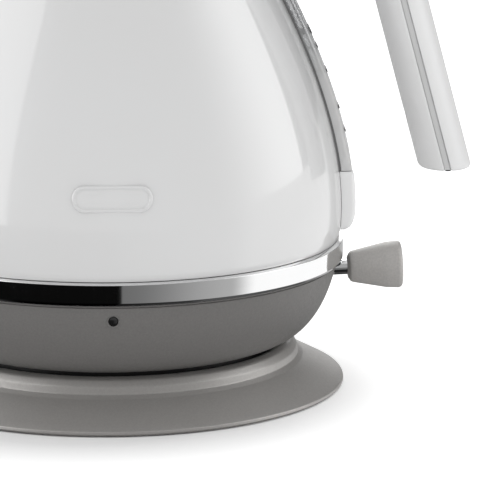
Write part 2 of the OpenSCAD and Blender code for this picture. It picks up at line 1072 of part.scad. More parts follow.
module lid_stem() {
    color(CHROME)
        difference() {
            union() {
                cylinder_z(stem_r, lid_top - 0.1, lid_top + 9);
                cylinder_z(5, lid_top - 0.1, lid_top + 1.1);
            }
            cylinder_z(1.3, lid_top - 1, lid_top + 7);
        }
}

module lid_knob() {
    color(GREY)
        translate([0, 0, lid_top + 3.4])
            knob(5.7);
}

module lid_screw() {
    color(SCREW)
        translate([0, 0, 197.8])
            screw(1.2, lid_top + 5 - 197.8, 4.4, 1.6);
}

base_shell();
base_plate();
base_foot_ring();
base_screws();
connector_tower();
contact_pin();
contact_ring();
cord_gland();
kettle_socket();
socket_contacts();
bottom_cup();
chrome_band();
body_shell();
chassis_ring();
carrier_ring();
cup_screws();
heating_plate();
plate_seal();
heat_spreader();
heating_element();
control_unit();
bimetal_disc();
indicator_lens();
indicator_lamp();
steam_tube();
badge();
water_window();
window_gasket();
window_foot();
level_marks();
spout_tube();
spout_flange();
spout_tip_ring();
spout_strainer();
top_collar();
handle_bracket();
handle_spine();
handle_inner();
handle_outer();
handle_screws();
lever_bracket();
lever_pin();
switch_box();
lever_stem();
lever_knob();
switch_plunger();
lid_cap();
lid_plug();
lid_seal();
lid_stem();
lid_knob();
lid_screw();
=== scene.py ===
"""Looks for the gooseneck kettle. Turned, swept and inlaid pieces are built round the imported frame.

Shapes are written in millimetres in the frame's own axes: +X handle, -X spout, -Y badge, +Z up.
"""

import json
import math

import bmesh
import bpy
from mathutils import Matrix, Vector

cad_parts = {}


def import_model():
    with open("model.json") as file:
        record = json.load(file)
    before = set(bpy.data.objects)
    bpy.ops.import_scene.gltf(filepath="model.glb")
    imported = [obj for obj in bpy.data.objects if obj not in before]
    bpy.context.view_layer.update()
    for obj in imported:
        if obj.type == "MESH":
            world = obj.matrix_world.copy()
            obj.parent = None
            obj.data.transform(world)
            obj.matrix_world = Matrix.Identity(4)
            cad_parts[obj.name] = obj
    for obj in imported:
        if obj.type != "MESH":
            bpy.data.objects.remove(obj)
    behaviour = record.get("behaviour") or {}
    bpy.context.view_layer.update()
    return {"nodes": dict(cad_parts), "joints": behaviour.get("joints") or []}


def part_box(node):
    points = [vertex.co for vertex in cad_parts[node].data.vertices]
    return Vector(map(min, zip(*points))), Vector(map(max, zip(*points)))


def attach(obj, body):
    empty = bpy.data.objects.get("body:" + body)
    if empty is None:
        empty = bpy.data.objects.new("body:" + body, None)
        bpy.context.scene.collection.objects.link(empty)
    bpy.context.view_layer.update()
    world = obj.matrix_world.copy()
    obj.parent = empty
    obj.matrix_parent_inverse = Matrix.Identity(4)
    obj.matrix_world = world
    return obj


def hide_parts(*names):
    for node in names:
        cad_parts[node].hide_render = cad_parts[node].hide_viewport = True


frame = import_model()

MM = 0.001
UP = Matrix.Identity(4)

# ---------------------------------------------------------------- sizes from the frame


def mix(a, b, t):
    return a + (b - a) * t


def low(node):
    """Lowest corner of a CAD node, in millimetres."""
    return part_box(node)[0] / MM


def high(node):
    """Highest corner of a CAD node, in millimetres."""
    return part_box(node)[1] / MM


RIM_R = high("base_shell").x
BASE_TOP = high("base_shell").z
CUP_R = high("bottom_cup").x
CUP_LOW = low("bottom_cup").z
CUP_TOP = high("bottom_cup").z
BAND_LOW = low("chrome_band").z
BAND_TOP = high("chrome_band").z
BAND_R = high("chrome_band").y
SHELL_LOW = low("body_shell").z
SHELL_TOP = high("body_shell").z
WINDOW_LOW = low("water_window").z
WINDOW_TOP = high("water_window").z
HEEL_LOW = low("window_foot").z
GRIP_LOW = low("handle_outer").z
GRIP_W = high("handle_outer").y - low("handle_outer").y - 0.8
COLLAR_R = high("top_collar").x
COLLAR_LOW = low("top_collar").z
COLLAR_TOP = high("top_collar").z
LID_LOW = low("lid_cap").z
LID_TOP = high("lid_cap").z
LID_R = high("lid_cap").x
LENS_Z = (low("indicator_lens").z + high("indicator_lens").z) / 2
LENS_Y = low("indicator_lens").y
BADGE_W = high("badge").x - low("badge").x
BADGE_H = high("badge").z - low("badge").z
BADGE_Z = (high("badge").z + low("badge").z) / 2
PIVOT = Vector(next(j for j in frame["joints"] if j["name"] == "switch_lever")["pos_m"]) / MM

# The vessel's outline: a full lower curve, then a hollow one up to the neck
WAIST = (63, 140.5)
LOWER = [(83.2, SHELL_LOW), (87.6, 84), (73.5, 119), WAIST]
UPPER = [WAIST, (53.2, 160.5), (42.5, 180), (41, SHELL_TOP)]
SHELL_WALL = 1.2

# The spout's centre line in the XZ plane, from root to mouth
SPOUT_Z = 90
SPOUT_IN = high("spout_tube").x
SPOUT_ROOT_R = 11.8
SPOUT_TIP_R = 6.2
SPOUT_BEND = -89
SWAN = [
    [(mix(SPOUT_IN, SPOUT_BEND, k / 3), SPOUT_Z) for k in range(4)],
    [(SPOUT_BEND, SPOUT_Z), (-106, SPOUT_Z), (-117, 101), (-117, 122)],
    [(-117, 122), (-117, 145), (-104, 158), (-106, 180)],
    [(-106, 180), (-107.6, 198), (-122, 212), (-150, 206)],
]

# The handle: a leaning grip, a bend and a level arm
GRIP_T = 18.7
GRIP_LEAN = math.radians(15)
BEND_R = 26
BEND_X = 69.4
ARM_Z = 201.3
ARM_END = 54.2
GROOVE = 2.3
GRIP_SCREWS = (22, 84)

# The lever, and the cone that it shares with the lid
LEVER_REST = 2.5
STEM_R = 2.8
KNOB_R = 8.7
KNOB_LEN = 20
KNOB_START = 14.5

# Half the width of the lever's slot in the cup, and of the slot behind the window
LEVER_SLOT = 3.4
WINDOW_SLOT = 6.5

# The seam between cup and band stands this much higher than it does in the CAD
SEAM_UP = 0.6

# ---------------------------------------------------------------------- curves


def bezier(points, t):
    """Point and direction at t on a curve with four control points."""
    p = [Vector(q) for q in points]
    s = 1 - t
    point = p[0] * s**3 + p[1] * 3 * s * s * t + p[2] * 3 * s * t * t + p[3] * t**3
    way = (p[1] - p[0]) * s * s + (p[2] - p[1]) * 2 * s * t + (p[3] - p[2]) * t * t
    return point, way.normalized()


def curve(points, steps):
    return [bezier(points, i / steps)[0] for i in range(steps + 1)]


def vessel_at(z):
    """Radius of the vessel at height z, and its outward normal as (radial, upward)."""
    part = LOWER if z < WAIST[1] else UPPER
    first, last = 0.0, 1.0
    for _ in range(30):
        t = (first + last) / 2
        if bezier(part, t)[0].y < z:
            first = t
        else:
            last = t
    point, way = bezier(part, t)
    return point.x, Vector((way.y, -way.x))


def on_vessel(across, z, lift, side):
    """Point on the vessel, across from the middle of that side and lifted off the surface."""
    r, normal = vessel_at(z)
    r_here = r + lift * normal.x
    along = math.sqrt(max(r_here**2 - across**2, 0))
    height = z + lift * normal.y
    if side == "front":
        return Vector((across, -along, height))
    return Vector((along, across, height))


def rounded(corners, closed=False, steps=5):
    """Outline through (r, z) or (r, z, radius) corners, with an arc where a corner has a radius."""
    out = []
    count = len(corners)
    for i, corner in enumerate(corners):
        here = Vector(corner[:2])
        radius = corner[2] if len(corner) > 2 else 0
        if radius == 0 or (not closed and i in (0, count - 1)):
            out.append(here)
            continue
        back = Vector(corners[i - 1][:2]) - here
        on = Vector(corners[(i + 1) % count][:2]) - here
        a, b = back.normalized(), on.normalized()
        half = math.acos(max(-1, min(1, a.dot(b)))) / 2
        reach = min(radius / math.tan(half), 0.48 * back.length, 0.48 * on.length)
        centre = here + (a + b).normalized() * (reach / math.cos(half))
        start, end = here + a * reach - centre, here + b * reach - centre
        turn = math.pi - 2 * half
        for k in range(steps + 1):
            t = k / steps
            arm = (start * math.sin((1 - t) * turn) + end * math.sin(t * turn)) / math.sin(turn)
            out.append(centre + arm)
    return out


# ------------------------------------------------------------------- mesh makers


def join_rings(bm, rings, closed=False):
    """Faces between rings of vertices; a ring may be a single point."""
    pairs = list(zip(rings, rings[1:]))
    if closed:
        pairs.append((rings[-1], rings[0]))
    for a, b in pairs:
        n = max(len(a), len(b))
        for k in range(n):
            j = (k + 1) % n
            corners = [a[k % len(a)], a[j % len(a)], b[j % len(b)], b[k % len(b)]]
            bm.faces.new(list(dict.fromkeys(corners)))


def turned(bm, outline, segments=192, closed=False, place=UP):
    """Solid of revolution about the local Z axis, put where place says."""
    rings = []
    for r, z in outline:
        count = segments if r > 1e-4 else 1
        angles = [2 * math.pi * k / segments for k in range(count)]
        ring = [place @ Vector((r * math.cos(a), r * math.sin(a), z)) for a in angles]
        rings.append([bm.verts.new(p * MM) for p in ring])
    join_rings(bm, rings, closed)


def swept(bm, loops, closed=False, caps=True):
    """Skin over a list of loops of points, in millimetres, with flat caps at its ends."""
    rings = [[bm.verts.new(p * MM) for p in loop] for loop in loops]
    join_rings(bm, rings, closed)
    if caps:
        bm.faces.new(rings[0])
        bm.faces.new(rings[-1])


def block(bm, corner_a, corner_b):
    """A plain box between two corners, used only to cut with."""
    a, b = Vector(corner_a), Vector(corner_b)
    size = Matrix.Diagonal((*((b - a) * MM), 1))
    bmesh.ops.create_cube(bm, size=1, matrix=Matrix.Translation((a + b) / 2 * MM) @ size)


def new_object(name, bm):
    bmesh.ops.recalc_face_normals(bm, faces=bm.faces[:])
    mesh = bpy.data.meshes.new(name)
    bm.to_mesh(mesh)
    bm.free()
    obj = bpy.data.objects.new(name, mesh)
    bpy.context.scene.collection.objects.link(obj)
    return obj


def cut(obj, cutter_bm):
    """Takes the cutter's shape out of a piece, and leaves no modifier behind."""
    cutter = new_object("cutter", cutter_bm)
    change = obj.modifiers.new("cut", "BOOLEAN")
    change.operation = "DIFFERENCE"
    change.solver = "EXACT"
    change.object = cutter
    depsgraph = bpy.context.evaluated_depsgraph_get()
    old = obj.data
    obj.data = bpy.data.meshes.new_from_object(obj.evaluated_get(depsgraph))
    obj.modifiers.clear()
    bpy.data.meshes.remove(old)
    bpy.data.objects.remove(cutter)


def shade(obj, sharp):
    """Smooth faces, with a hard edge wherever two faces meet at more than sharp degrees."""
    bm = bmesh.new()
    bm.from_mesh(obj.data)
    for face in bm.faces:
        face.smooth = True
    for edge in bm.edges:
        edge.smooth = len(edge.link_faces) == 2 and edge.calc_face_angle() < math.radians(sharp)
    bm.to_mesh(obj.data)
    bm.free()


def piece(name, bm, material, body, stands_for, sharp=40, cutters=()):
    """Finishes a piece: cuts, shading, material, its body and the CAD nodes it stands for."""
    obj = new_object(name, bm)
    for cutter_bm in cutters:
        cut(obj, cutter_bm)
    shade(obj, sharp)
    obj.data.materials.clear()
    obj.data.materials.append(material)
    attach(obj, body)
    if stands_for:
        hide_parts(*stands_for)
    return obj


# ---------------------------------------------------------------------- materials


# The part of a noise's range over which a colour or roughness drifts
DRIFT = (0.3, 0.7)


class Paint:
    """A material's node tree, with short ways to add textures to it."""

    def __init__(self, name, roughness, metallic=0.0, ior=1.5, coat=0.0, coat_roughness=0.03):
        self.material = bpy.data.materials.new(name)
        self.material.use_nodes = True
        self.tree = self.material.node_tree
        self.shader = self.tree.nodes["Principled BSDF"]
        self.place = self.add("TexCoord").outputs["Object"]
        self.set("Roughness", roughness)
        self.set("Metallic", metallic)
        self.set("IOR", ior)
        self.set("Coat Weight", coat)
        self.set("Coat Roughness", coat_roughness)

    def add(self, kind):
        return self.tree.nodes.new("ShaderNode" + kind)

    def set(self, socket, value):
        self.shader.inputs[socket].default_value = value

    def link(self, output, socket):
        self.tree.links.new(output, socket)

    def noise(self, scale, detail=2.0, stretch=(1, 1, 1)):
        """Noise over the piece, scale in waves per metre."""
        mapping = self.add("Mapping")
        mapping.inputs["Scale"].default_value = stretch
        self.link(self.place, mapping.inputs["Vector"])
        noise = self.add("TexNoise")
        noise.inputs["Scale"].default_value = scale
        noise.inputs["Detail"].default_value = detail
        self.link(mapping.outputs["Vector"], noise.inputs["Vector"])
        return noise.outputs["Fac"]

    def ramp(self, value, stops):
        """Colours at positions along a value from 0 to 1."""
        ramp = self.add("ValToRGB")
        elements = ramp.color_ramp.elements
        while len(elements) < len(stops):
            elements.new(0.5)
        for element, (position, colour) in zip(elements, stops):
            element.position = position
            element.color = (*colour, 1)
        self.link(value, ramp.inputs["Fac"])
        return ramp.outputs["Color"]

    def colour(self, value, dark, light, span=DRIFT):
        """Base colour that drifts between two tones."""
        stops = [(span[0], dark), (span[1], light)]
        self.link(self.ramp(value, stops), self.shader.inputs["Base Color"])

    def spread(self, value, start, end, soft=False):
        """Maps a value from one span onto another, and holds it at both ends."""
        node = self.add("MapRange")
        if soft:
            node.interpolation_type = "SMOOTHSTEP"
        for socket, number in zip(("From Min", "From Max", "To Min", "To Max"), (*start, *end)):
            node.inputs[socket].default_value = number
        self.link(value, node.inputs["Value"])
        return node.outputs["Result"]

    def roughness(self, value, smooth, rough):
        spread = self.spread(value, DRIFT, (smooth, rough))
        self.link(spread, self.shader.inputs["Roughness"])

    def bump(self, value, depth_mm, strength=1.0):
        bump = self.add("Bump")
        bump.inputs["Strength"].default_value = strength
        bump.inputs["Distance"].default_value = depth_mm * MM
        self.link(value, bump.inputs["Height"])
        self.link(bump.outputs["Normal"], self.shader.inputs["Normal"])
        return self


def tone(value, spread=0.0, warm=0.0):
    """A grey of that linear value, a little warmer or cooler, lighter or darker."""
    v = value * (1 + spread)
    return (v * (1 + warm), v, v * (1 - warm))


def enamel():
    """High-gloss white paint on steel, with a faint orange-peel under a clear coat."""
    p = Paint("enamel_white", roughness=0.32, coat=1.0, coat_roughness=0.02)
    p.colour(p.noise(18, 3), tone(0.61, -0.006), tone(0.61, 0.006, -0.003))
    p.bump(p.noise(260, 1), 0.004, 0.5)
    return p.material


# Flecks of the moulded greys, in waves per metre
FLECK_WAVES = 1500


def flecks(value, fleck):
    """Darkest and lightest tone of a flecked warm grey."""
    return tone(value, -fleck, 0.03), tone(value, fleck, 0.035)


def spark_grain(p, rough):
    """Uneven sheen and fine bumps of a spark-eroded mould."""
    p.roughness(p.noise(900, 2), rough - 0.06, rough + 0.06)
    p.bump(p.noise(2300, 3), 0.035, 0.8)


def moulded_grey(name, value, fleck=0.07, metallic=0.0, rough=0.5):
    """Warm grey plastic with a fine spark-eroded grain, and a little metal in it where set."""
    p = Paint(name, roughness=rough, ior=1.5, metallic=metallic)
    p.colour(p.noise(FLECK_WAVES, 3), *flecks(value, fleck))
    spark_grain(p, rough)
    return p.material


def base_plastic():
    """The base's flecked grey, with painted shade: the seat inside the roll, where the gap under the
    kettle lies in shadow, is painted near-black.
    """
    grey, fleck, rough = 0.34, 0.05, 0.42
    # Painted shade: near-black colour for the seat inside the roll, where the gap under the kettle is
    # in shadow
    seat = tone(0.012)
    painted_shade_edge = (62.2 * MM, 62.6 * MM)
    p = Paint("plastic_base_grey", roughness=rough, ior=1.5, metallic=0.5)
    flat = p.add("VectorMath")
    flat.operation = "MULTIPLY"
    flat.inputs[1].default_value = (1, 1, 0)
    p.link(p.place, flat.inputs[0])
    radius = p.add("VectorMath")
    radius.operation = "LENGTH"
    p.link(flat.outputs["Vector"], radius.inputs[0])
    outside = p.spread(radius.outputs["Value"], painted_shade_edge, (0, 1))
    grain = p.ramp(p.noise(FLECK_WAVES, 3), list(zip(DRIFT, flecks(grey, fleck))))
    both = p.add("MixRGB")
    both.inputs["Color1"].default_value = (*seat, 1)
    p.link(outside, both.inputs["Fac"])
    p.link(grain, both.inputs["Color2"])
    p.link(both.outputs["Color"], p.shader.inputs["Base Color"])
    spark_grain(p, rough)
    return p.material


def chrome():
    """Mirror-polished plating with the faintest waviness and hairline wiping marks."""
    p = Paint("chrome_polished", roughness=0.05, metallic=1.0)
    p.colour(p.noise(40, 2), tone(0.80, -0.01), tone(0.82, 0.01, -0.004))
    p.roughness(p.noise(700, 3, (1, 1, 0.05)), 0.035, 0.085)
    p.bump(p.noise(60, 1), 0.003, 0.35)
    return p.material


def satin_white(name="plastic_white", value=0.655, rough=0.36):
    """Satin white plastic with a very fine moulded grain."""
    p = Paint(name, roughness=rough, ior=1.48)
    p.colour(p.noise(60, 3), tone(value, -0.012), tone(value, 0.012, -0.002))
    p.roughness(p.noise(800, 2), rough - 0.05, rough + 0.06)
    p.bump(p.noise(1900, 2), 0.008, 0.6)
    return p.material


def clear_plastic():
    """Slightly smoky clear plastic of the water window, lighter and less clear towards its lower end.
    """
    # The window is lighter in colour and less clear below these heights
    pale_low, pale_high = 105 * MM, 140 * MM
    least_clear, clearest = 0.35, 0.75
    p = Paint("plastic_clear", roughness=0.12, ior=1.49)
    split = p.add("SeparateXYZ")
    p.link(p.place, split.inputs["Vector"])
    above_pale = p.spread(split.outputs["Z"], (pale_low, pale_high), (0, 1), soft=True)
    clear = p.spread(above_pale, (0, 1), (least_clear, clearest))
    p.link(clear, p.shader.inputs["Transmission Weight"])
    p.colour(above_pale, tone(0.72), tone(0.63, 0, -0.01), (0, 1))
    p.roughness(p.noise(300, 2), 0.08, 0.2)
    p.bump(p.noise(180, 1), 0.01, 0.4)
    return p.material


def dark_plastic(name="plastic_black", value=0.018, rough=0.5):
    """Black moulded plastic with a light haze in its grain."""
    p = Paint(name, roughness=rough)
    p.colour(p.noise(900, 3), tone(value, -0.15), tone(value, 0.3))
    p.roughness(p.noise(400, 2), rough - 0.08, rough + 0.1)
    p.bump(p.noise(1600, 2), 0.02, 0.6)
    return p.material


def rubber(name="rubber_black", value=0.014):
    """Dull rubber with a powdery bloom."""
    p = Paint(name, roughness=0.8, ior=1.45)
    p.colour(p.noise(220, 4), tone(value), tone(value + 0.018))
    p.bump(p.noise(2600, 2), 0.03, 0.7)
    return p.material


def silicone():
    """Milky silicone of the lid seal."""
    p = Paint("silicone_milky", roughness=0.45, ior=1.41)
    p.set("Subsurface Weight", 0.2)
    p.set("Subsurface Radius", (0.002, 0.002, 0.002))
    p.colour(p.noise(120, 2), tone(0.52), tone(0.60))
    p.bump(p.noise(900, 2), 0.01, 0.5)
    return p.material


def metal(name, dark, light, rough, stretch, depth=0.008):
    """Bare metal with tool marks that run across the direction of stretch."""
    p = Paint(name, roughness=rough, metallic=1.0)
    p.colour(p.noise(120, 3), dark, light)
    lines = p.noise(1200, 3, stretch)
    p.roughness(lines, rough - 0.08, rough + 0.12)
    p.bump(lines, depth, 0.5)
    return p.material


def glossy(name, dark, light, rough=0.12):
    """Small glossy plastic part, such as the lamp lens."""
    p = Paint(name, roughness=rough, coat=0.6, coat_roughness=0.03)
    p.colour(p.noise(400, 2), dark, light)
    p.bump(p.noise(700, 1), 0.004, 0.4)
    return p.material


def print_ink():
    """Dark printed marks, slightly broken at the edges."""
    p = Paint("ink_dark", roughness=0.55)
    p.colour(p.noise(2200, 3), tone(0.02), tone(0.07))
    return p.material


def floor_paint():
    """Pale studio floor with an almost invisible mottle. Its faint glow is painted light, and where
    it fades, off-centre under the kettle, it leaves a painted contact shadow.
    """
    # Painted light and painted shadow: the floor glows, and the glow fades out towards a spot
    # off-centre under the kettle as a painted contact shadow
    shadow_centre = (-0.012, -0.020, 0)
    shadow_edge = (72 * MM, 112 * MM)
    painted_glow = 0.36
    p = Paint("floor_pale", roughness=0.9, ior=1.3)
    p.colour(p.noise(3, 3), tone(0.93, -0.004), tone(0.93, 0.004))
    p.set("Emission Color", (1, 1, 1, 1))
    away = p.add("VectorMath")
    away.operation = "DISTANCE"
    away.inputs[1].default_value = shadow_centre
    p.link(p.place, away.inputs[0])
    glow = p.spread(away.outputs["Value"], shadow_edge, (0, painted_glow))
    p.link(glow, p.shader.inputs["Emission Strength"])
    return p.material


ENAMEL = enamel()
CUP_GREY = moulded_grey("plastic_cup_grey", 0.134)
BASE_GREY = base_plastic()
KNOB_GREY = moulded_grey("plastic_knob_grey", 0.40, 0.07, 0.2, 0.45)
CHROME = chrome()
WHITE = satin_white()
HEEL_WHITE = satin_white("plastic_heel_white", 0.76)
STRIP = satin_white("plastic_strip_grey", 0.50, 0.5)
CLEAR = clear_plastic()
BLACK = dark_plastic()
RUBBER = rubber()
GASKET = rubber("rubber_grey", 0.13)
SILICONE = silicone()
BRASS = metal("brass_contact", (0.52, 0.33, 0.10), (0.68, 0.46, 0.17), 0.28, (1, 1, 0.1))
ZINC = metal("steel_zinc_plated", tone(0.38), tone(0.50, 0, -0.02), 0.34, (1, 1, 1))
STEEL = metal("steel_brushed", tone(0.46), tone(0.56), 0.30, (0.08, 1, 1))
ALUMINIUM = metal("aluminium_cast", tone(0.50), tone(0.60), 0.42, (1, 1, 1), 0.03)
LENS = glossy("lens_dark", tone(0.004), tone(0.012))
LAMP = glossy("lamp_amber", (0.55, 0.16, 0.02), (0.75, 0.28, 0.04))
INK = print_ink()

# CAD nodes that stay as they are, by the material they get
KEPT = {
    "base_plate": BLACK, "base_foot_ring": RUBBER, "base_screws": ZINC, "connector_tower": BLACK,
    "contact_pin": BRASS, "contact_ring": BRASS, "cord_gland": RUBBER, "kettle_socket": BLACK,
    "socket_contacts": BRASS, "chassis_ring": BLACK, "carrier_ring": BLACK, "cup_screws": ZINC,
    "heating_plate": STEEL, "plate_seal": RUBBER, "heat_spreader": ALUMINIUM,
    "heating_element": ALUMINIUM, "control_unit": BLACK, "bimetal_disc": BRASS,
    "indicator_lamp": LAMP, "steam_tube": WHITE, "level_marks": INK, "spout_strainer": STEEL,
    "handle_screws": ZINC, "lever_bracket": BLACK, "lever_pin": CHROME, "switch_box": BLACK,
    "switch_plunger": WHITE, "lid_plug": BLACK, "lid_seal": SILICONE, "lid_screw": ZINC,
}


def finish_kept_nodes():
    for name, material in KEPT.items():
        slots = frame["nodes"][name].data.materials
        slots.clear()
        slots.append(material)


# --------------------------------------------------------------------- power base


def base_shell():
    """Flared base: rim, flare, a crease, the roll under the kettle and the dish inside it."""
    wall = 2.2
    dish = BASE_TOP - 1.8
    dish_r, plug_r = 50, 17
    outline = rounded([
        (RIM_R - 2.6, 0.4, 0.4), (RIM_R - 0.3, 0.4, 0.3), (RIM_R, 1.0, 0.4),
        (RIM_R - 0.2, 1.95, 0.7), (RIM_R - 4.6, 4.2, 40), (RIM_R - 15, 9.7, 6),
        (68.2, 11.0, 0.8), (67.7, 13.4, 2.4), (65.9, 15.7, 2.2), (63.2, 16.5, 1.6),
        (61.7, 15.9, 0.7), (61.4, 13.6, 0.3), (58.6, 13.6, 0.3), (58.1, BASE_TOP, 0.8),
        (dish_r + 2, BASE_TOP, 1.2), (dish_r, dish, 1), (plug_r, dish, 0.4),
        (plug_r, dish - wall, 0.4), (dish_r + 1, dish - wall), (dish_r + 3, BASE_TOP - wall),
        (56.2, BASE_TOP - wall), (56.4, 11.4), (63.6, 11.4, 1), (65.5, 9.6), (73, 5.4), (79, 2.9),
    ], closed=True, steps=7)
    bm = bmesh.new()
    turned(bm, outline, 256, closed=True)
    notch_r, notch_y, notch_z = 4, 66.8, 4.2
    notch = bmesh.new()
    along_y = Matrix.Translation((0, notch_y, notch_z)) @ Matrix.Rotation(math.radians(-90), 4, "X")
    turned(notch, [(0, 0), (notch_r, 0), (notch_r, 40), (0, 40)], 32, place=along_y)
    under = bmesh.new()
    block(under, (-notch_r, notch_y, -2), (notch_r, 100, notch_z))
    bosses(bm)
    piece("base_flare", bm, BASE_GREY, "power_base", ["base_shell"],
          cutters=[notch, under])


def bosses(bm):
    """Three screw bosses under the base's dish."""
    away, bore, outside, foot, top = 40, 1.25, 4, 5.6, 13
    out = Matrix.Translation((away, 0, 0))
    for k in range(3):
        place = Matrix.Rotation(math.radians(30 + 120 * k), 4, "Z") @ out
        ring = [(bore, foot), (outside, foot), (outside, top), (bore, top)]
        turned(bm, ring, 24, closed=True, place=place)


# --------------------------------------------------------------------- lower body


CUP_CURVE = [(CUP_R, CUP_TOP), (80.2, 35.0), (74.6, 18.9), (60.5, CUP_LOW)]


def lever_slot():
    """Cuts the lever's slot through the cup's wall, open at its top."""
    inside, outside, foot = 70, 92, 35.6
    bm = bmesh.new()
    block(bm, (inside, -LEVER_SLOT, foot), (outside, LEVER_SLOT, CUP_TOP + 4))
    return bm


def cup():
    """Matt grey lower housing, with a fine groove under its lip."""
    wall, opening, lens_hole = 2.4, 20.6, 2.3
    outer = [(p.x, p.y) for p in curve(CUP_CURVE, 28)]
    inner = [(p.x - wall, max(p.y, CUP_LOW + wall)) for p in reversed(curve(CUP_CURVE, 16))]
    top = CUP_TOP + SEAM_UP
    lip = [(CUP_R - wall, top), (CUP_R - 0.35, top), (CUP_R - 0.05, top - 0.15),
           (CUP_R - 0.02, top - 0.5), (CUP_R - 0.35, top - 0.7), (CUP_R - 0.02, top - 0.95)]
    floor = [(opening, CUP_LOW), (opening, CUP_LOW + wall)]
    bm = bmesh.new()
    turned(bm, lip + outer[1:] + floor + inner[:-1], 256, closed=True)
    hole = bmesh.new()
    out = Matrix.Translation((0, -60, LENS_Z)) @ Matrix.Rotation(math.radians(90), 4, "X")
    turned(hole, [(0, 0), (lens_hole, 0), (lens_hole, 30), (0, 30)], 40, place=out)
    piece("cup_housing", bm, CUP_GREY, "kettle", ["bottom_cup"],
          cutters=[hole, lever_slot()])


def band():
    """Polished band: a narrow sloping top, a nearly upright face and a chamfer under it."""
    inside = 80.3
    bottom = BAND_LOW + SEAM_UP
    outline = rounded([
        (inside, bottom), (BAND_R - 0.5, bottom, 0.1), (BAND_R - 0.03, bottom + 0.9, 0.25),
        (BAND_R, bottom + 3.4, 12), (BAND_R - 0.04, BAND_TOP - 0.8),
        (BAND_R - 0.05, BAND_TOP - 0.5, 0.15), (BAND_R - 1.3, BAND_TOP + 0.05, 0.3),
        (BAND_R - 2.3, BAND_TOP + 0.2, 0.2), (inside, BAND_TOP),
    ], closed=True, steps=7)
    bm = bmesh.new()
    turned(bm, outline, 320, closed=True)
    piece("band_polished", bm, CHROME, "kettle", ["chrome_band"])


def lens():
    """Dark lens in a thin grey bezel, flush with the cup."""
    out = Matrix.Translation((0, 0, LENS_Z)) @ Matrix.Rotation(math.radians(90), 4, "X")
    front = -LENS_Y
    lens_r, ring_in, ring_out = 1.75, 1.78, 2.25
    bm = bmesh.new()
    dome = rounded([(0, front - 5), (lens_r, front - 5), (lens_r, front - 0.5, 0.5),
                    (0, front - 0.1)])
    turned(bm, dome, 48, place=out)
    piece("lamp_lens", bm, LENS, "kettle", ["indicator_lens"])
    ring = bmesh.new()
    outline = rounded([(ring_in, front - 3), (ring_out, front - 3), (ring_out, front + 0.08, 0.15),
                       (ring_in, front + 0.02, 0.15)], closed=True, steps=4)
    turned(ring, outline, 48, closed=True, place=out)
    piece("lamp_bezel", ring, CUP_GREY, "kettle", [])


# -------------------------------------------------------------------------- vessel


def shell():
    """Pressed steel vessel, painted outside, with the window slot and the spout's hole."""
    slot_inset = 6
    outer = curve(LOWER, 70) + curve(UPPER, 50)[1:]
    inner = [Vector((p.x - SHELL_WALL, p.y)) for p in reversed(outer[3:])]
    foot = [Vector((outer[0].x - SHELL_WALL, SHELL_LOW)), Vector((outer[0].x - 0.35, SHELL_LOW))]
    bm = bmesh.new()
    turned(bm, foot + outer[1:] + inner, 320, closed=True)
    slot = bmesh.new()
    block(slot, (0, -WINDOW_SLOT, WINDOW_LOW + slot_inset),
          (100, WINDOW_SLOT, WINDOW_TOP - slot_inset))
    hole = bmesh.new()
    out = Matrix.Translation((-60, 0, SPOUT_Z)) @ Matrix.Rotation(math.radians(-90), 4, "Y")
    hole_r = SPOUT_ROOT_R + 0.2
    turned(hole, [(0, 0), (hole_r, 0), (hole_r, 40), (0, 40)], 64, place=out)
    piece("vessel_enamelled", bm, ENAMEL, "kettle", ["body_shell"],
          cutters=[slot, hole])


def pill(w, h, count=24):
    """Pill outline as (across, up) points, starting at the right-hand end."""
    r = h / 2
    out = []
    for end in (1, -1):
        for k in range(count + 1):
            a = math.radians(-90 + 180 * k / count) + (0 if end > 0 else math.pi)
            out.append(Vector((end * (w / 2 - r) + r * math.cos(a), r * math.sin(a))))
    return out


def badge():
    """Blank pill plate that follows the vessel, with a rolled raised rim."""
    # Distances inwards from the edge and out from the vessel: side, rolled rim, flat face
    steps = [(0, -0.4), (0, 0.25), (0.12, 0.62), (0.4, 0.9), (0.75, 0.98), (1.05, 0.86),
             (1.3, 0.58), (1.5, 0.42), (2.1, 0.4), (3.2, 0.42)]
    bm = bmesh.new()
    loops = []
    for inset, lift in steps:
        outline = pill(BADGE_W - 2 * inset, BADGE_H - 2 * inset)
        loops.append([on_vessel(p.x, BADGE_Z + p.y, lift, "front") for p in outline])
    swept(bm, loops)
    piece("badge_plate", bm, ENAMEL, "kettle", ["badge"], sharp=60)


# --------------------------------------------------------------------- water window


def rail_section(z, half, proud, foot, corner, hollow=0.0, wall=1.8, count=6):
    """Section of a rail on the vessel's +X side: its outer line, then the hollow's line back."""
    r = vessel_at(z)[0]

    def skin(y, lift):
        return Vector((math.sqrt((r + lift) ** 2 - y * y), y, z))

    corner = min(corner, 0.48 * max(proud - foot, 0.1))
    line = [skin(-half, foot)]
    for side in (-1, 1):
        angles = [90 * k / count for k in range(count + 1)]
        for a in (angles if side < 0 else reversed(angles)):
            s, c = math.sin(math.radians(a)), math.cos(math.radians(a))
            x = r + proud - corner + corner * s
            line.append(Vector((x, side * (half - corner + corner * c), z)))
    line.append(skin(half, foot))
    inner_half = half - wall
    depth = mix(foot + 0.01, proud - wall, hollow)
    steps = 2 * count + 1
    for k in range(steps + 1):
        y = inner_half * (1 - 2 * k / steps)
        edge = min(1.0, 4 * min(k, steps - k) / steps)
        line.append(skin(y, mix(foot, depth, edge)))
    return line


